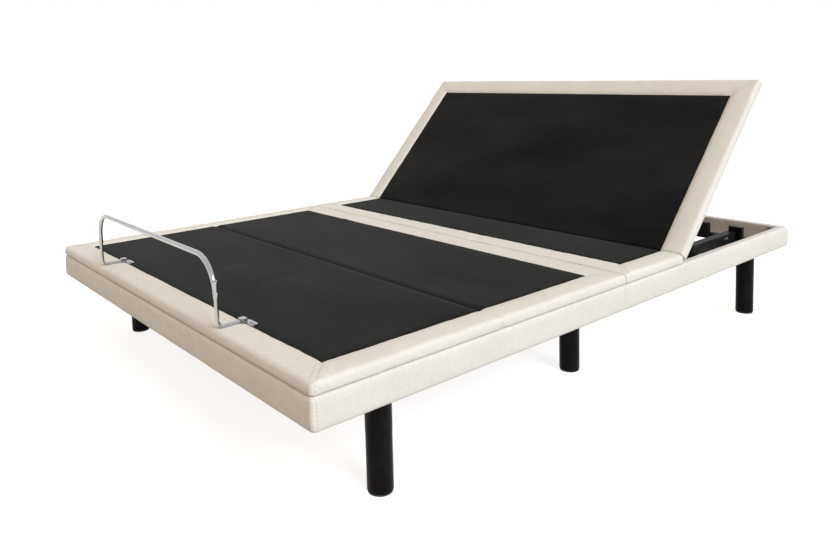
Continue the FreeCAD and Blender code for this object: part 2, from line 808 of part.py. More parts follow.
# ---- panels with what they carry -------------------------------------------
def make_head_panel():
    fold = head_fold_y
    board, pad = make_panel(fold, fold + head_length, [(fold, head_angle_max / 2, True)])
    pieces = {
        "head_board": [board],
        "head_pad": [pad],
        "head_hinge_moving_leaves": hinge_leaves(fold, 1, False),
        "head_lever": [drive_lever(drive_x, fold, 1, head_mid_angle, slot_side_gap)],
        "head_massage_motor": [massage_motor(fold + head_massage_y)],
    }
    for name, shapes in pieces.items():
        tilted = []
        for shape in shapes:
            copy = shape.copy()
            copy.rotate(Vector(0, fold, axis_z), X, head_angle_stored)
            tilted.append(copy)
        save(name, tilted)


def make_leg_panels():
    half = thigh_angle_max / 2
    board, pad = make_panel(knee_y, seat_fold_y, [
        (knee_y, half, False), (seat_fold_y, half, True)
    ])
    save("thigh_board", [board])
    save("thigh_pad", [pad])
    save("thigh_hinge_moving_leaves", hinge_leaves(seat_fold_y, -1, False))
    save("thigh_lever", [
        drive_lever(-drive_x, seat_fold_y, -1, thigh_mid_angle, leg_slot_side_gap)
    ])
    save("knee_hinge_thigh_leaves", hinge_leaves(knee_y, 1, True))
    save("knee_hinge_pins", hinge_pins(knee_y))
    board, pad = make_panel(foot_end_y, knee_y, [(knee_y, half, False)])
    save("foot_board", [board])
    save("foot_pad", [pad])
    save("knee_hinge_foot_leaves", hinge_leaves(knee_y, -1, False))
    save("foot_massage_motor", [massage_motor(foot_massage_y)])


def make_seat():
    board, pad = make_panel(seat_fold_y, head_fold_y, [
        (seat_fold_y, thigh_angle_max / 2, True), (head_fold_y, head_angle_max / 2, True)
    ])
    save("seat_board", [board])
    save("seat_pad", [pad])
    leaves = hinge_leaves(head_fold_y, -1, True) + hinge_leaves(seat_fold_y, 1, True)
    save("seat_hinge_leaves", leaves)
    save("seat_hinge_pins", hinge_pins(head_fold_y) + hinge_pins(seat_fold_y))
    supports = []
    half = cross_tube_width / 2
    top = frame_bottom + cross_tube_height
    for x in (-300, 300):
        supports.append(box(x - 20, x + 20, split_tube_y - half, split_tube_y + half, top, board_bottom))
        supports += [box(x - 20, x + 20, y0, y1, z0, z1) for y0, y1, z0, z1 in (
            (split_tube_y + half, head_fold_y - 70, board_bottom - 5, board_bottom),
        )]
    save("seat_supports", [joined(supports[:2]), joined(supports[2:])])


def main():
    os.makedirs("parts", exist_ok=True)
    make_rails()
    make_frame()
    make_legs()
    make_seat()
    make_leg_panels()
    make_head_panel()
    make_drives()
    make_links()
    make_retainer()
    make_electrics()


main()
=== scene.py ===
import json
import math

import bpy
import bmesh
from mathutils import Matrix, Vector, noise

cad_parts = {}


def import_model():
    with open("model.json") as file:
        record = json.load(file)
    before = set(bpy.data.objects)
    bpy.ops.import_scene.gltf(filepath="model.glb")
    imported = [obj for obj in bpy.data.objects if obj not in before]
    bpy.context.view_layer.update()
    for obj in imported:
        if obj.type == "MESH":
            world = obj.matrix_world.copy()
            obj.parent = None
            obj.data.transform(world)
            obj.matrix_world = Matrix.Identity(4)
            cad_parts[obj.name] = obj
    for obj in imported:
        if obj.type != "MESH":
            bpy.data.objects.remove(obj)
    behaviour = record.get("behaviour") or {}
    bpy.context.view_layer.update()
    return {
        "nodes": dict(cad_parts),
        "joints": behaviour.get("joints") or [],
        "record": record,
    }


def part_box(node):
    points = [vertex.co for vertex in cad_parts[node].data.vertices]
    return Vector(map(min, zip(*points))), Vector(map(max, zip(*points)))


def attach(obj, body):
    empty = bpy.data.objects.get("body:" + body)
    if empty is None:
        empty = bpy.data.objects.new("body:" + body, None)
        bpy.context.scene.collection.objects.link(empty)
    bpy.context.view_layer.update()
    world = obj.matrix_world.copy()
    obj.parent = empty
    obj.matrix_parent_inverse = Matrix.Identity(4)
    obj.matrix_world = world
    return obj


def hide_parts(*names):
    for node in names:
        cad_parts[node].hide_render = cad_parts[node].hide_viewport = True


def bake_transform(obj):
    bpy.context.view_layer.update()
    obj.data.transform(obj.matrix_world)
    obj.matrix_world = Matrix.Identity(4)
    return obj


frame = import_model()

# ---- sizes of the upholstery, in metres ------------------------------------
BORDER = 0.075            # light border round the dark fields
SPLIT_BORDER = 0.078      # light border of the thigh panel at the split
SEAT_BORDER = 0.081       # light border of the seat panel at the split
FREE_ROUND = 0.011        # rounding of the outer edges of the deck
SPLIT_BEVEL = 0.0032      # width of the bevel where thigh and seat panel meet
HEAD_BEVEL = 0.0058       # the same where seat and head panel meet
FOLD_DEPTH = 0.0075       # height of the bevels, down to the hinge axis
HINGE_XS = (-0.6, -0.22, 0.22, 0.6)
HINGE_REACH = 0.034
HINGE_NOTCH = 0.0047      # cloth held back from the knuckles
GRID = 0.0095             # mesh spacing of the covers
SEAM_WIDTH = 0.0035
SEAM_DEPTH = 0.0020
CROWN = 0.0022            # how far the border swells between its seams
KNEE_DEPTH = 0.0052
KNEE_WANDER = 0.0022      # how far the knee crease strays from a straight line
KNEE_LIP = 0.0009         # swell either side of the knee crease
KNEE_TUCK = 0.0022        # how far the side draws in at the knee
MITRE_WIDTH = 0.004
MITRE_DEPTH = 0.0016
BORDER_RIPPLE = 0.0011
BORDER_PUCKER = 0.0009
FIELD_WAVE = 0.0009
FIELD_CROWN = 0.0006
MOTOR_RISE = 0.0010       # cloth lifted over a massage motor
MOTOR_GROOVE = 0.0005     # and pressed in round its edge
SIDE_RIPPLE = 0.0007
ROUND_STEPS = 5           # mesh steps round an outer edge
FABRIC = 0.0012           # thickness of the cloth
STITCH_PITCH = 0.0075
STITCH_LENGTH = 0.0048
STITCH_RADIUS = 0.00045
STITCH_SIDES = 5
# one loop of thread: place along it in lengths, rise and thickness in radii
STITCH_ARCH = ((-0.5, -0.4, 0.3), (-0.3, 0.6, 0.9), (0.0, 0.9, 1.0),
               (0.3, 0.6, 0.9), (0.5, -0.4, 0.3))
# rows down a cover's side: share of its height, how far the cloth stands off
SIDE_ROWS = ((0.35, 0.0006), (0.7, 0.0004), (0.93, -0.0012), (1.0, -0.0048))
RAIL_CORNER = 0.009       # upright outer corners of the rails
RAIL_CORNER_STEPS = 9
RAIL_STEP = 0.009         # mesh spacing along the rails
RAIL_SEAM_ROWS = (0.0003, 0.0018, 0.0045)   # closer rows beside the split seam
RAIL_SEAM_REACH = 0.0042
RAIL_SEAM_DEPTH = 0.0036
RAIL_PUCKER_REACH = 0.02  # how far the puckers run from an upright corner
RAIL_SWELL = 0.0010       # how far the outer face bulges at mid height
CORNER_ROW = 0.010        # stitching from each such corner
MITRE_ROW = 0.0065        # stitching either side of a mitre seam

joints = {joint["name"]: joint for joint in frame["joints"]}
HEAD_PIVOT = Vector(joints["head_tilt"]["pos_m"])
HEAD_ANGLE = math.radians(-joints["head_tilt"]["range_deg"][0])
SPLIT_Y = joints["thigh_tilt"]["pos_m"][1]
KNEE_Y = joints["knee_fold"]["pos_m"][1]
HALF_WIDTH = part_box("seat_pad")[1].x
DECK_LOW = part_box("seat_pad")[0].z
DECK_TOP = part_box("seat_pad")[1].z
RAIL_ENDS = (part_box("foot_end_rail_cover")[0].y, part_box("head_end_rail_cover")[1].y)


# ---- node helpers ----------------------------------------------------------
class Nodes:
    """A short way to build one material's node tree."""

    def __init__(self, name):
        self.material = bpy.data.materials.new(name)
        self.material.use_nodes = True
        self.tree = self.material.node_tree
        self.shader = self.tree.nodes["Principled BSDF"]

    def add(self, kind, **values):
        node = self.tree.nodes.new(kind)
        for key, value in values.items():
            if key in node.inputs:
                node.inputs[key].default_value = value
            else:
                setattr(node, key, value)
        return node

    def link(self, source, target):
        self.tree.links.new(source, target)

    def math(self, operation, a, b):
        node = self.add("ShaderNodeMath", operation=operation)
        for index, value in enumerate((a, b)):
            if isinstance(value, (int, float)):
                node.inputs[index].default_value = value
            else:
                self.link(value, node.inputs[index])
        return node.outputs[0]

    def ramp(self, source, low, high, dark, light):
        node = self.add("ShaderNodeValToRGB")
        node.color_ramp.elements[0].position = low
        node.color_ramp.elements[0].color = (*dark, 1)
        node.color_ramp.elements[1].position = high
        node.color_ramp.elements[1].color = (*light, 1)
        self.link(source, node.inputs[0])
        return node.outputs[0]

    def noise(self, vector, scale, detail=4.0, rough=0.55):
        node = self.add("ShaderNodeTexNoise", Scale=scale, Detail=detail, Roughness=rough)
        self.link(vector, node.inputs["Vector"])
        return node.outputs["Fac"]

    def bump(self, height, strength, distance):
        node = self.add("ShaderNodeBump", Strength=strength, Distance=distance)
        self.link(height, node.inputs["Height"])
        return node.outputs["Normal"]

    def place(self):
        return self.add("ShaderNodeTexCoord").outputs["Object"]

    def stretched(self, vector, scale):
        node = self.add("ShaderNodeMapping")
        node.inputs["Scale"].default_value = scale
        self.link(vector, node.inputs["Vector"])
        return node.outputs["Vector"]


def set_shader(nodes, **values):
    for key, value in values.items():
        nodes.shader.inputs[key.replace("_", " ")].default_value = value


# ---- materials -------------------------------------------------------------
def chenille(name, shade, slub):
    """Flat woven linen look: soft slubs along both threads over a fine weave."""
    n = Nodes(name)
    place = n.place()
    warp = n.noise(n.stretched(place, (520, 60, 520)), 1.0, 3.0, 0.6)
    weft = n.noise(n.stretched(place, (60, 520, 60)), 1.0, 3.0, 0.6)
    upright = n.noise(n.stretched(place, (420, 420, 90)), 1.0, 3.0, 0.6)
    patch = n.noise(place, 9.0, 3.0)
    weave = n.math("ADD", n.math("MULTIPLY", warp, 0.4), n.math("MULTIPLY", weft, 0.4))
    weave = n.math("ADD", weave, n.math("MULTIPLY", upright, 0.25))
    mix = n.math("ADD", n.math("MULTIPLY", weave, 0.8), n.math("MULTIPLY", patch, 0.2))
    n.link(n.ramp(mix, 0.36, 0.66, slub, shade), n.shader.inputs["Base Color"])
    normal = n.bump(weave, 0.55, 0.0012)
    n.link(normal, n.shader.inputs["Normal"])
    set_shader(n, Roughness=0.93, Sheen_Weight=0.18, Sheen_Roughness=0.5)
    n.shader.inputs["Specular IOR Level"].default_value = 0.18
    return n.material


def field_cloth(name, dark, light):
    """Charcoal non-slip cloth with a fine pressed grain and faint clouding."""
    n = Nodes(name)
    place = n.place()
    grain = n.noise(place, 900.0, 2.0, 0.7)
    cloud = n.noise(n.stretched(place, (2.2, 5.0, 5.0)), 1.0, 4.0, 0.5)
    brushed = n.noise(n.stretched(place, (14, 160, 160)), 1.0, 3.0, 0.6)
    mix = n.math("ADD", n.math("MULTIPLY", cloud, 0.6), n.math("MULTIPLY", brushed, 0.25))
    mix = n.math("ADD", mix, n.math("MULTIPLY", grain, 0.15))
    n.link(n.ramp(mix, 0.38, 0.62, dark, light), n.shader.inputs["Base Color"])
    n.link(n.bump(grain, 0.35, 0.0006), n.shader.inputs["Normal"])
    set_shader(n, Roughness=0.9, Sheen_Weight=0.06, Sheen_Roughness=0.45)
    n.shader.inputs["Specular IOR Level"].default_value = 0.07
    return n.material


def powder_coat(name, shade, rough):
    """Sprayed coat: faint orange peel, a little dust in the gloss."""
    n = Nodes(name)
    place = n.place()
    peel = n.noise(place, 380.0, 2.0)
    dust = n.noise(place, 22.0, 4.0)
    lighter = tuple(channel * 1.7 + 0.004 for channel in shade)
    n.link(n.ramp(dust, 0.4, 0.75, shade, lighter), n.shader.inputs["Base Color"])
    gloss = n.math("ADD", n.math("MULTIPLY", dust, 0.18), rough - 0.09)
    n.link(gloss, n.shader.inputs["Roughness"])
    n.link(n.bump(peel, 0.12, 0.0004), n.shader.inputs["Normal"])
    n.shader.inputs["Specular IOR Level"].default_value = 0.06
    return n.material


def metal(name, shade, rough, streak):
    n = Nodes(name)
    place = n.place()
    lines = n.noise(n.stretched(place, streak), 1.0, 3.0)
    gloss = n.math("ADD", n.math("MULTIPLY", lines, rough * 0.8), rough * 0.5)
    n.link(gloss, n.shader.inputs["Roughness"])
    darker = tuple(channel * 0.88 for channel in shade)
    n.link(n.ramp(lines, 0.3, 0.7, darker, shade), n.shader.inputs["Base Color"])
    set_shader(n, Metallic=1.0)
    return n.material


def plywood(name):
    n = Nodes(name)
    place = n.place()
    wave = n.add("ShaderNodeTexNoise", Scale=1.0, Detail=6.0, Distortion=1.2)
    n.link(n.stretched(place, (3.5, 45, 45)), wave.inputs["Vector"])
    plies = n.add("ShaderNodeTexWave", Scale=90.0, Distortion=0.6, bands_direction="Z")
    n.link(place, plies.inputs["Vector"])
    mix = n.math("ADD", n.math("MULTIPLY", wave.outputs["Fac"], 0.85),
                 n.math("MULTIPLY", plies.outputs["Fac"], 0.12))
    n.link(n.ramp(mix, 0.35, 0.72, (0.30, 0.17, 0.075), (0.55, 0.37, 0.20)),
           n.shader.inputs["Base Color"])
    n.link(n.bump(wave.outputs["Fac"], 0.2, 0.001), n.shader.inputs["Normal"])
    set_shader(n, Roughness=0.68)
    return n.material


def moulded(name, shade, rough):
    n = Nodes(name)
    place = n.place()
    spark = n.noise(place, 700.0, 2.0, 0.7)
    haze = n.noise(place, 12.0, 3.0)
    lighter = tuple(channel * 1.4 for channel in shade)
    n.link(n.ramp(haze, 0.35, 0.7, shade, lighter), n.shader.inputs["Base Color"])
    n.link(n.bump(spark, 0.3, 0.0004), n.shader.inputs["Normal"])
    set_shader(n, Roughness=rough)
    return n.material


BORDER_CLOTH = chenille("border_cloth", (0.82, 0.795, 0.745), (0.68, 0.64, 0.575))
FIELD_CLOTH = field_cloth("field_cloth", (0.0050, 0.0051, 0.0045), (0.0150, 0.0152, 0.0136))
THREAD = chenille("thread", (0.62, 0.57, 0.49), (0.46, 0.41, 0.34))
STEEL = powder_coat("frame_steel", (0.008, 0.008, 0.0085), 0.42)
LEG_PAINT = powder_coat("leg_paint", (0.003, 0.003, 0.0028), 0.36)
CHROME = metal("chrome", (0.46, 0.46, 0.47), 0.10, (30, 30, 30))
ZINC = metal("zinc", (0.40, 0.40, 0.41), 0.38, (600, 40, 600))
PLY = plywood("plywood")
PLASTIC = moulded("drive_plastic", (0.022, 0.022, 0.024), 0.55)
GLIDE = moulded("glide_plastic", (0.018, 0.018, 0.018), 0.7)

CAD_MATERIALS = {
    "wood": PLY,
    "frame_steel": STEEL,
    "leg_black": LEG_PAINT,
    "glide_plastic": GLIDE,
    "zinc_steel": ZINC,
    "drive_plastic": PLASTIC,
    "chrome_bar": CHROME,
    "border_fabric": BORDER_CLOTH,
}


def dress_cad_nodes():
    for part in frame["record"]["subparts"]:
        obj = frame["nodes"][part["node"]]
        material = CAD_MATERIALS[part["material_slot"]]
        if obj.material_slots:
            for material_slot in obj.material_slots:
                material_slot.material = material
        else:
            obj.data.materials.append(material)


# ---- cover geometry --------------------------------------------------------
def steps(start, end, marks, spacing):
    """Grid lines from start to end, with extra ones either side of each seam."""
    lines = {round(start, 5), round(end, 5)}
    for mark in marks:
        for shift in (-2.2, -1.0, 0.0, 1.0, 2.2):
            value = mark + shift * SEAM_WIDTH / 2
            if start < value < end:
                lines.add(round(value, 5))
    ordered = sorted(lines)
    filled = [ordered[0]]
    for value in ordered[1:]:
        gap = value - filled[-1]
        count = max(1, round(gap / spacing))
        first = filled[-1]
        filled += [first + gap * k / count for k in range(1, count + 1)]
    return filled


def groove(distance, width, depth):
    """A soft-edged seam: how far the surface dips at this distance from it."""
    return -depth * math.exp(-(distance / width) ** 2)


def smooth(value, low, high):
    t = min(1.0, max(0.0, (value - low) / (high - low)))
    return t * t * (3 - 2 * t)


class Cover:
    """The cloth over one or two flat panels: light border, dark field, seams."""

    def __init__(self, x_half, y0, y1, border0, border1, bevel0, bevel1):
        self.x_half = x_half
        self.y0, self.y1 = y0, y1
        self.border0, self.border1 = border0, border1
        self.free0, self.free1 = bevel0 is None, bevel1 is None
        self.round0 = FREE_ROUND if self.free0 else bevel0
        self.round1 = FREE_ROUND if self.free1 else bevel1
        self.knee = None
        self.motor = None
        self.seed = 3.0 * y0

    def lie_over_motor(self, low, high):
        """Note the middle and half size of the massage motor under the cloth."""
        self.motor = ((low.x + high.x) / 2, (low.y + high.y) / 2,
                      (high.x - low.x) / 2, (high.y - low.y) / 2)

    def field_edges(self):
        x_edge = self.x_half - BORDER
        low = self.y0 + self.border0 if self.border0 else self.y0 - 1
        high = self.y1 - self.border1 if self.border1 else self.y1 + 1
        return x_edge, low, high

    def in_field(self, x, y):
        x_edge, low, high = self.field_edges()
        return abs(x) < x_edge and low < y < high

    def mitres(self, x, y):
        """Distance to the nearest mitre seam of the border."""
        x_edge, low, high = self.field_edges()
        nearest = 1.0
        for border, edge, outward in ((self.border0, low, -1), (self.border1, high, 1)):
            if not border:
                continue
            along = (y - edge) * outward
            across = (abs(x) - x_edge) * border / BORDER
            if along > -0.004 and across > -0.004:
                nearest = min(nearest, abs(along - across) * 0.7071)
        return nearest

    def height(self, x, y):
        """Surface height above the deck's flat top."""
        x_edge, low, high = self.field_edges()
        side = abs(x) - x_edge
        inside = min(-side, y - low if self.border0 else 1, high - y if self.border1 else 1)
        z = groove(inside, SEAM_WIDTH, SEAM_DEPTH)
        if inside < 0:
            t = min(1.0, -inside / BORDER)
            z += CROWN * math.sin(math.pi * min(1.0, t * 1.05)) ** 0.8
            z += groove(self.mitres(x, y), MITRE_WIDTH, MITRE_DEPTH)
            ripple = noise.noise(Vector((x * 9, y * 9, self.seed)))
            z += BORDER_RIPPLE * ripple
            pucker = noise.noise(Vector((x * 42, y * 42, self.seed + 5)))
            z += BORDER_PUCKER * pucker
        else:
            wave = noise.noise(Vector((x * 2.6, y * 6.5, self.seed + 9)))
            z += FIELD_WAVE * wave * smooth(inside, 0, 0.04)
            z += FIELD_CROWN * smooth(inside, 0.002, 0.03)
        if self.motor:
            mx, my, half_x, half_y = self.motor
            out = max(abs(x - mx) - half_x, abs(y - my) - half_y)
            z += MOTOR_RISE * (1 - smooth(out, -0.008, 0.008))
            z -= MOTOR_GROOVE * math.exp(-(out / 0.006) ** 2)
        if self.knee is not None:
            wander = KNEE_WANDER * noise.noise(Vector((x * 3.1, 0.7, 4.2)))
            off = y - self.knee - wander
            depth = KNEE_DEPTH * (1.0 if side < 0 else 0.65)
            z -= depth * math.exp(-abs(off) / 0.0042)
            z += KNEE_LIP * math.exp(-((abs(off) - 0.022) / 0.012) ** 2)
        return z

    def rim(self, xs, ys):
        """The border of the flat top, in order, with each point's outward way."""
        x0, x1, y0, y1 = xs[0], xs[-1], ys[0], ys[-1]
        points = []
        corner_steps = 6

        def corner(x, y, start):
            for k in range(1, corner_steps):
                a = start + math.pi / 2 * k / corner_steps
                points.append((x, y, math.cos(a), math.sin(a)))

        points += [(x, y0, 0.0, -1.0) for x in xs]
        corner(x1, y0, -math.pi / 2)
        points += [(x1, y, 1.0, 0.0) for y in ys]
        corner(x1, y1, 0.0)
        points += [(x, y1, 0.0, 1.0) for x in reversed(xs)]
        corner(x0, y1, math.pi / 2)
        points += [(x0, y, -1.0, 0.0) for y in reversed(ys)]
        corner(x0, y0, math.pi)
        return points

    def offset(self, x, nx, ny, turn):
        """Horizontal and downward move of a rim point, turned over the edge."""
        free = self.free0 if ny < 0 else self.free1
        reach = self.round0 if ny < 0 else self.round1
        side, drop = math.sin(turn), 1 - math.cos(turn)
        end, end_drop = side, drop * reach * 1.3
        if not free:
            end = turn / (math.pi / 2)
            end_drop = end * FOLD_DEPTH
            if any(abs(x - hinge) < HINGE_REACH for hinge in HINGE_XS):
                reach -= HINGE_NOTCH * smooth(end, 0.35, 0.6)
        down = FREE_ROUND * nx * nx * drop + ny * ny * end_drop
        return nx * FREE_ROUND * side, ny * reach * end, down

    def build(self, name, low, top):
        x_edge, y_low, y_high = self.field_edges()
        inner = self.x_half - FREE_ROUND
        x_marks = [-x_edge, x_edge]
        y_marks = [y_low, y_high] + ([self.knee] if self.knee is not None else [])
        xs = steps(-inner, inner, x_marks, GRID)
        ys = steps(self.y0 + self.round0, self.y1 - self.round1, y_marks, GRID)
        mesh = bmesh.new()
        grid = [
            [mesh.verts.new((x, y, top + self.height(x, y))) for x in xs] for y in ys
        ]
        for row in range(len(ys) - 1):
            for column in range(len(xs) - 1):
                face = mesh.faces.new((
                    grid[row][column], grid[row][column + 1],
                    grid[row + 1][column + 1], grid[row + 1][column],
                ))
                middle = face.calc_center_median()
                face.material_index = 1 if self.in_field(middle.x, middle.y) else 0
        self.add_sides(mesh, self.rim(xs, ys), low, top)
        bmesh.ops.remove_doubles(mesh, verts=mesh.verts, dist=0.00005)
        bmesh.ops.recalc_face_normals(mesh, faces=mesh.faces)
        return finish_mesh(mesh, name, (BORDER_CLOTH, FIELD_CLOTH), FABRIC)

    def add_sides(self, mesh, rim, low, top):
        turns = [math.pi / 2 * k / ROUND_STEPS for k in range(ROUND_STEPS + 1)]
        rings = []
        for turn in turns:
            ring = []
            for x, y, nx, ny in rim:
                dx, dy, drop = self.offset(x, nx, ny, turn)
                z = top + self.height(x, y) * math.cos(turn) ** 0.5 - drop
                ring.append(mesh.verts.new((x + dx, y + dy, z)))
            rings.append(ring)
        for part, pull in SIDE_ROWS:
            ring = []
            for x, y, nx, ny in rim:
                dx, dy, drop = self.offset(x, nx, ny, math.pi / 2)
                start = top - drop
                free = self.free0 if ny < 0 else self.free1
                swell = pull if abs(nx) > 0.5 or free else -0.001
                ripple = SIDE_RIPPLE * noise.noise(Vector((x * 14, y * 14, part * 3 + self.seed)))
                if self.knee is not None and abs(nx) > 0.5:
                    ripple -= KNEE_TUCK * math.exp(-((y - self.knee) / 0.008) ** 2)
                if part == 1.0:
                    ripple = 0.0
                move = swell + ripple
                z = start + (low + 0.0004 - start) * part
                ring.append(mesh.verts.new((x + dx + nx * move, y + dy + ny * move, z)))
            rings.append(ring)
        count = len(rim)
        for upper, lower in zip(rings, rings[1:]):
            for k in range(count):
                corners = (upper[k], upper[(k + 1) % count], lower[(k + 1) % count], lower[k])
                face = mesh.faces.new(corners)
                x, y, nx, ny = rim[k]
                border_end = self.border0 if ny < 0 else self.border1
                at_fold = abs(ny) > 0.9 and not border_end
                face.material_index = 1 if at_fold and abs(x) < self.x_half - BORDER else 0


def finish_mesh(mesh, name, materials, thickness=0.0):
    data = bpy.data.meshes.new(name)
    mesh.to_mesh(data)
    mesh.free()
    for material in materials:
        data.materials.append(material)
    data.polygons.foreach_set("use_smooth", [True] * len(data.polygons))
    obj = bpy.data.objects.new(name, data)
    bpy.context.scene.collection.objects.link(obj)
    if thickness:
        shell = obj.modifiers.new("cloth", "SOLIDIFY")
        shell.thickness = thickness
        shell.offset = -1
        depsgraph = bpy.context.evaluated_depsgraph_get()
        solid = bpy.data.meshes.new_from_object(obj.evaluated_get(depsgraph))
        obj.modifiers.clear()
        obj.data = solid
    return obj


def tilt_with_head(obj):
    turn = Matrix.Rotation(HEAD_ANGLE, 4, "X")
    obj.data.transform(Matrix.Translation(HEAD_PIVOT) @ turn @ Matrix.Translation(-HEAD_PIVOT))


def head_flat_box(node):
    """Low and high corner of a head panel node, as if the panel were laid flat."""
    back = Matrix.Rotation(-HEAD_ANGLE, 4, "X")
    spots = [
        back @ (vertex.co - HEAD_PIVOT) + HEAD_PIVOT
        for vertex in frame["nodes"][node].data.vertices
    ]
    low = Vector((min(s.x for s in spots), min(s.y for s in spots), 0))
    high = Vector((max(s.x for s in spots), max(s.y for s in spots), 0))
    return low, high


# ---- stitches --------------------------------------------------------------
def add_stitch(mesh, middle, along, up):
    """One visible loop of thread: a short low arch."""
    side = along.cross(up).normalized()
    rings = []
    for t, lift, size in STITCH_ARCH:
        centre = middle + along * (t * STITCH_LENGTH) + up * (lift * STITCH_RADIUS)
        ring = []
        for k in range(STITCH_SIDES):
            a = 2 * math.pi * k / STITCH_SIDES
            out = side * math.cos(a) + up * math.sin(a)
            ring.append(mesh.verts.new(centre + out * STITCH_RADIUS * size))
        rings.append(ring)
    for first, second in zip(rings, rings[1:]):
        for k in range(STITCH_SIDES):
            after = (k + 1) % STITCH_SIDES
            mesh.faces.new((first[k], first[after], second[after], second[k]))
    mesh.faces.new(list(reversed(rings[0])))
    mesh.faces.new(rings[-1])


def stitch_line(mesh, start, end, surface, up):
    """Stitches from start to end, each set on the surface."""
    way = end - start
    count = max(1, int(way.length / STITCH_PITCH))
    along = way.normalized()
    for k in range(count):
        point = surface(start + way * ((k + 0.5) / count))
        add_stitch(mesh, point, along, up)


def mitre_stitches(cover, name, top):
    """Two rows of stitching along each mitre seam of a cover."""
    mesh = bmesh.new()
    x_edge, low, high = cover.field_edges()

    def surface(point):
        return Vector((point.x, point.y, top + cover.height(point.x, point.y) + 0.0002))

    for border, edge, outer, outward in (
        (cover.border0, low, cover.y0, -1), (cover.border1, high, cover.y1, 1)
    ):
        if not border:
            continue
        for side in (-1, 1):
            start = Vector((side * x_edge, edge, top))
            end = Vector((side * cover.x_half, outer, top))
            way = (end - start).normalized()
            normal = Vector((-way.y, way.x, 0))
            trimmed = start + way * ((end - start).length - FREE_ROUND * 1.2)
            for shift in (-MITRE_ROW, MITRE_ROW):
                stitch_line(mesh, start + normal * shift + way * 0.006,
                            trimmed + normal * shift, surface, Vector((0, 0, 1)))
            if cover.free0 if outward < 0 else cover.free1:
                corner = Vector((side * cover.x_half, outer, top))
                across, end_way = Vector((side, 0, 0)), Vector((0, outward, 0))
                row = MITRE_ROW * math.sqrt(2)
                drop_stitches(mesh, corner - end_way * row, across)
                drop_stitches(mesh, corner - across * row, end_way)
    return finish_mesh(mesh, name, (THREAD,))


def drop_stitches(mesh, edge, out):
    """A row of stitching over the rounded edge at this point and down the side."""
    centre = edge - out * FREE_ROUND - Vector((0, 0, FREE_ROUND))
    for turn in (0.45, 1.15):
        up = out * math.sin(turn) + Vector((0, 0, math.cos(turn)))
        way = out * math.cos(turn) - Vector((0, 0, math.sin(turn)))
        add_stitch(mesh, centre + up * (FREE_ROUND + 0.0008), way, up)
    start = edge - Vector((0, 0, FREE_ROUND))
    end = Vector((edge.x, edge.y, DECK_LOW + 0.003))
    stitch_line(mesh, start, end, lambda point: point + out * 0.0007, out)


# ---- rails -----------------------------------------------------------------
def rail_section(depth, height, steps_round=4):
    """Closed outline of a rail: (outward, up)."""
    outline = []
    outer_r, inner_r = 0.009, 0.005
    for cx, cz, r, start in (
        (depth - outer_r, outer_r, outer_r, -math.pi / 2),
        (depth - outer_r, height - outer_r, outer_r, 0.0),
        (inner_r, height - inner_r, inner_r, math.pi / 2),
        (inner_r, inner_r, inner_r, math.pi),
    ):
        for k in range(steps_round + 1):
            a = start + math.pi / 2 * k / steps_round
            outline.append((cx + r * math.cos(a), cz + r * math.sin(a)))
    dense = []
    for (u0, v0), (u1, v1) in zip(outline, outline[1:] + outline[:1]):
        dense.append((u0, v0))
        length = math.hypot(u1 - u0, v1 - v0)
        extra = int(length / 0.012)
        dense += [
            (u0 + (u1 - u0) * k / (extra + 1), v0 + (v1 - v0) * k / (extra + 1))
            for k in range(1, extra + 1)
        ]
    return dense


def rail_ripple(point, inner):
    """How far the cloth stands off the rail; the inner faces are looser."""
    broad = noise.noise(Vector((point.x * 5, point.y * 5, point.z * 16)))
    fine = noise.noise(Vector((point.x * 30, point.y * 30, point.z * 40 + 7)))
    if inner:
        fold = noise.noise(Vector((point.x * 24, point.y * 24, point.z * 6 + 3)))
        return 0.0006 * broad + 0.0013 * fold
    return 0.0009 * broad + 0.0007 * fine


def spaced(start, end, spacing):
    """Even places from start to end, both ends included."""
    count = max(2, round(abs(end - start) / spacing))
    return [start + (end - start) * k / count for k in range(count + 1)]


def rail_path(x_half, y_split, y_end, depth):
    """Stations round one half of the bed: (outer point, outward way, inner point,
    nearness of the split seam, nearness of a corner)."""
    side = 1 if y_end > y_split else -1
    inner_x, inner_y = x_half - depth, y_end - side * depth
    stop = y_end - side * RAIL_CORNER
    run = [y_split + side * step for step in RAIL_SEAM_ROWS]
    run += spaced(y_split + side * RAIL_STEP, stop, RAIL_STEP)
    quarter = []
    for y in run:
        quarter.append((Vector((x_half, y, 0)), Vector((1, 0, 0))))
    for k in range(1, RAIL_CORNER_STEPS):
        a = math.pi / 2 * k / RAIL_CORNER_STEPS
        way = Vector((math.cos(a), side * math.sin(a), 0))
        centre = Vector((x_half - RAIL_CORNER, stop, 0))
        quarter.append((centre + way * RAIL_CORNER, way))
    for x in spaced(x_half - RAIL_CORNER, 0.0, RAIL_STEP)[:-1]:
        quarter.append((Vector((x, y_end, 0)), Vector((0, side, 0))))
    stations = []
    for point, way in quarter:
        inner = Vector((min(point.x, inner_x), side * min(side * point.y, side * inner_y), 0))
        if abs(way.x) > 0.999:
            inner.x = inner_x
        seam = math.exp(-((point.y - y_split) / RAIL_SEAM_REACH) ** 2)
        corner = (Vector((x_half, y_end, 0)) - point).length
        stations.append((point, way, inner, seam, math.exp(-(corner / RAIL_PUCKER_REACH) ** 2)))
    flip = Vector((-1, 1, 1))
    mirror = [
        (point * flip, way * flip, inner * flip, seam, corner)
        for point, way, inner, seam, corner in reversed(stations)
    ]
    middle = (Vector((0, y_end, 0)), Vector((0, side, 0)), Vector((0, inner_y, 0)), 0.0, 0.0)
    return stations + [middle] + mirror


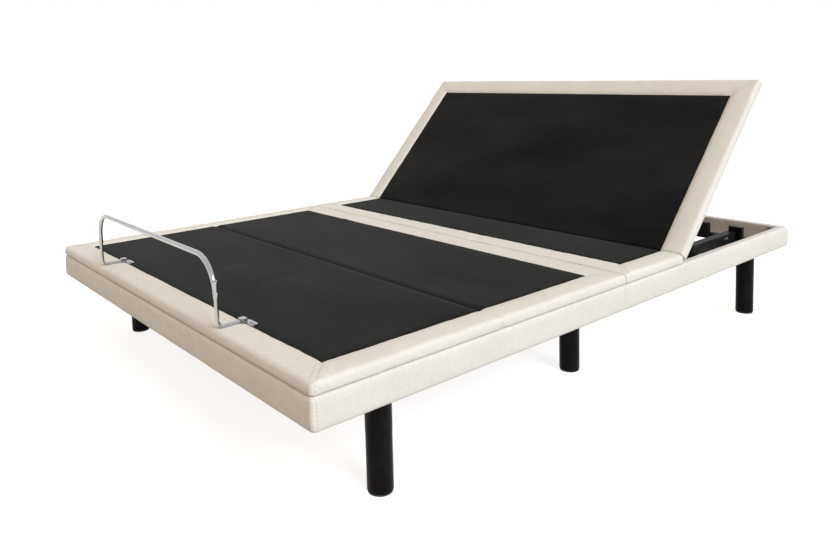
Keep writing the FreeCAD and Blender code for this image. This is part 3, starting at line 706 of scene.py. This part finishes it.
def rail_cloth(name, y_split, y_end, depth, low, height):
    """One cloth over a side rail, an end rail and the other side rail."""
    section = rail_section(depth, height)
    mesh = bmesh.new()
    rings = []
    for point, way, inner_point, seam, corner in rail_path(HALF_WIDTH, y_split, y_end, depth):
        ring = []
        for u, v in section:
            place = inner_point + (point - inner_point) * (u / depth)
            place.z = low + v
            inner = u < 0.3 * depth
            move = rail_ripple(place, inner)
            if not inner:
                middle = 1 - abs(2 * v / height - 1)
                move += RAIL_SWELL * smooth(middle, 0.0, 0.7) - RAIL_SEAM_DEPTH * seam
                pucker = noise.noise(Vector((place.x * 90, place.y * 90, place.z * 130)))
                move += 0.0007 * pucker * max(corner, seam)
            direction = way if u > depth * 0.5 else -way
            if 0.2 * depth < u < 0.8 * depth:
                direction = Vector((0, 0, 1 if v > height / 2 else -1))
                move *= 0.3
            ring.append(mesh.verts.new(place + direction * move))
        rings.append(ring)
    size = len(section)
    for first, second in zip(rings, rings[1:]):
        for k in range(size):
            after = (k + 1) % size
            mesh.faces.new((first[k], first[after], second[after], second[k]))
    mesh.faces.new(list(reversed(rings[0])))
    mesh.faces.new(rings[-1])
    bmesh.ops.remove_doubles(mesh, verts=mesh.verts, dist=0.00004)
    bmesh.ops.recalc_face_normals(mesh, faces=mesh.faces)
    obj = finish_mesh(mesh, name, (BORDER_CLOTH,))
    soft_piece(obj, "base")
    return obj


def rail_corner_stitches(name, low, height):
    """Two rows of stitching down each outer corner of the rails."""
    mesh = bmesh.new()
    for side_x in (-1, 1):
        for y_end in RAIL_ENDS:
            side_y = 1 if y_end > 0 else -1
            for x, y, way in (
                (side_x * (HALF_WIDTH - CORNER_ROW), y_end, Vector((0, side_y, 0))),
                (side_x * HALF_WIDTH, y_end - side_y * CORNER_ROW, Vector((side_x, 0, 0))),
            ):
                start = Vector((x, y, low + 0.008))
                end = Vector((x, y, low + height - 0.008))

                def surface(point, way=way):
                    middle = 1 - abs(2 * (point.z - low) / height - 1)
                    swell = RAIL_SWELL * smooth(middle, 0.0, 0.7)
                    return point + way * (swell + rail_ripple(point, False) + 0.0002)

                stitch_line(mesh, start, end, surface, way)
    stitches = finish_mesh(mesh, name, (THREAD,))
    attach(stitches, "base")


def rails():
    low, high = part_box("right_foot_rail_cover")
    depth = high.x - low.x
    height = high.z - low.z
    foot = rail_cloth("foot_rail_cloth", SPLIT_Y, RAIL_ENDS[0], depth, low.z, height)
    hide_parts("right_foot_rail_cover", "left_foot_rail_cover", "foot_end_rail_cover")
    head = rail_cloth("head_rail_cloth", SPLIT_Y, RAIL_ENDS[1], depth, low.z, height)
    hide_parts("right_head_rail_cover", "left_head_rail_cover", "head_end_rail_cover")
    rail_corner_stitches("rail_stitching", low.z, height)


# ---- deck covers -----------------------------------------------------------
def soft_piece(obj, body, *nodes):
    if body:
        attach(obj, body)
    if nodes:
        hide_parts(*nodes)


def leg_deck_cover():
    """One cloth over the foot and the thigh panel, creased at the knee."""
    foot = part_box("foot_pad")[0].y
    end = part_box("thigh_pad")[1].y
    cover = Cover(HALF_WIDTH, foot, end, BORDER, SPLIT_BORDER, None, SPLIT_BEVEL)
    cover.knee = KNEE_Y
    cover.lie_over_motor(*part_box("foot_massage_motor"))
    obj = cover.build("leg_deck_cloth", DECK_LOW, DECK_TOP)
    soft_piece(obj, None, "foot_pad", "thigh_pad")
    bend_at_knee(obj)
    stitches = mitre_stitches(cover, "leg_deck_stitching", DECK_TOP)
    bend_at_knee(stitches)


def bend_at_knee(obj):
    """Bake the object's placement into its mesh."""
    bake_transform(obj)


def seat_cover():
    low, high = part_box("seat_pad")
    cover = Cover(HALF_WIDTH, low.y, high.y, SEAT_BORDER, 0.0, SPLIT_BEVEL, HEAD_BEVEL)
    obj = cover.build("seat_cloth", DECK_LOW, DECK_TOP)
    soft_piece(obj, "base", "seat_pad")
    stitches = mitre_stitches(cover, "seat_stitching", DECK_TOP)
    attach(stitches, "base")


def head_cover():
    low, high = head_flat_box("head_pad")
    cover = Cover(HALF_WIDTH, low.y, high.y, 0.0, BORDER, HEAD_BEVEL, None)
    cover.lie_over_motor(*head_flat_box("head_massage_motor"))
    obj = cover.build("head_cloth", DECK_LOW, DECK_TOP)
    tilt_with_head(obj)
    soft_piece(obj, "head_panel", "head_pad")
    stitches = mitre_stitches(cover, "head_stitching", DECK_TOP)
    tilt_with_head(stitches)
    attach(stitches, "head_panel")


# ---- studio ----------------------------------------------------------------
CAMERA_PLACE = (1.878, -1.724, 0.897)
CAMERA_YAW, CAMERA_PITCH, CAMERA_ROLL = 50.4, -5.22, -1.57
SENSOR_WIDTH = 36               # mm
LENS = 32.05858                 # mm
SHIFT = (0.026194, -0.1697)     # in widths of the image
AMBIENT = (0.60, 0.49, 0.385, 1)
KEY_WAY = (0.70, -0.05, 0.46)   # from the bed toward the lamp
KEY_STRENGTH = 2.85
KEY_SHADE = (0.76, 0.88, 1.0)
KEY_SPREAD = 28                 # degrees, for soft shadows
FLOOR_SIZE = 14.0               # from the middle to an edge
FLOOR_LEVEL = -0.0005           # just clear of the glides
FLOOR_SEEN = 0.84               # emission of the floor where it is seen


def camera():
    yaw, pitch, roll = (math.radians(a) for a in (CAMERA_YAW, CAMERA_PITCH, CAMERA_ROLL))
    ahead = Vector((-math.sin(yaw) * math.cos(pitch), math.cos(yaw) * math.cos(pitch),
                    math.sin(pitch)))
    right = Vector((math.cos(yaw), math.sin(yaw), 0))
    up = right.cross(ahead)
    right_rolled = right * math.cos(roll) + up * math.sin(roll)
    up_rolled = up * math.cos(roll) - right * math.sin(roll)
    data = bpy.data.cameras.new("camera")
    data.sensor_width = SENSOR_WIDTH
    data.lens = LENS
    data.shift_x, data.shift_y = SHIFT
    obj = bpy.data.objects.new("camera", data)
    turn = Matrix((right_rolled, up_rolled, -ahead)).transposed().to_4x4()
    obj.matrix_world = Matrix.Translation(CAMERA_PLACE) @ turn
    bpy.context.scene.collection.objects.link(obj)
    bpy.context.scene.camera = obj


def seen_emission(nodes, seen_strength):
    """Emission strength for camera, glossy and transmission rays only."""
    paths = nodes.tree.nodes.new("ShaderNodeLightPath")
    rays = paths.outputs
    seen = nodes.math("MAXIMUM", rays["Is Camera Ray"], rays["Is Glossy Ray"])
    seen = nodes.math("MAXIMUM", seen, rays["Is Transmission Ray"])
    return nodes.math("MULTIPLY", seen, seen_strength)


def floor():
    mesh = bmesh.new()
    size = FLOOR_SIZE
    corners = [(-size, -size), (size, -size), (size, size), (-size, size)]
    mesh.faces.new([mesh.verts.new((x, y, FLOOR_LEVEL)) for x, y in corners])
    n = Nodes("floor")
    grain = n.noise(n.place(), 3.0, 2.0)
    n.link(n.ramp(grain, 0.3, 0.7, (0.45, 0.39, 0.33), (0.47, 0.41, 0.35)),
           n.shader.inputs["Base Color"])
    set_shader(n, Roughness=0.9)
    n.link(seen_emission(n, FLOOR_SEEN), n.shader.inputs["Emission Strength"])
    n.shader.inputs["Emission Color"].default_value = (1, 1, 1, 1)
    obj = finish_mesh(mesh, "floor", (n.material,))


def world():
    """White where it is seen, a warm ambient light for everything else."""
    scene = bpy.context.scene
    shell = bpy.data.worlds.new("studio")
    scene.world = shell
    shell.use_nodes = True
    tree = shell.node_tree
    background = tree.nodes["Background"]
    paths = tree.nodes.new("ShaderNodeLightPath")
    seen = tree.nodes.new("ShaderNodeMath")
    seen.operation = "MAXIMUM"
    tree.links.new(paths.outputs["Is Camera Ray"], seen.inputs[0])
    tree.links.new(paths.outputs["Is Glossy Ray"], seen.inputs[1])
    choice = tree.nodes.new("ShaderNodeMix")
    choice.data_type = "RGBA"   # its colours are inputs 6 and 7 and output 2
    tree.links.new(seen.outputs[0], choice.inputs["Factor"])
    choice.inputs[6].default_value = AMBIENT
    choice.inputs[7].default_value = (1, 1, 1, 1)
    tree.links.new(choice.outputs[2], background.inputs["Color"])
    scene.view_settings.view_transform = "Standard"


def sun(name, toward, strength, shade, spread):
    """A soft distant lamp; toward is the way from the bed to the lamp."""
    data = bpy.data.lights.new(name, "SUN")
    data.energy = strength
    data.color = shade
    data.angle = math.radians(spread)
    obj = bpy.data.objects.new(name, data)
    obj.rotation_euler = Vector(toward).to_track_quat("Z", "Y").to_euler()
    bpy.context.scene.collection.objects.link(obj)


def lights():
    sun("key", KEY_WAY, KEY_STRENGTH, KEY_SHADE, KEY_SPREAD)


# ---- everything ------------------------------------------------------------
def main():
    camera()
    dress_cad_nodes()
    leg_deck_cover()
    seat_cover()
    head_cover()
    rails()
    floor()
    lights()
    world()


main()
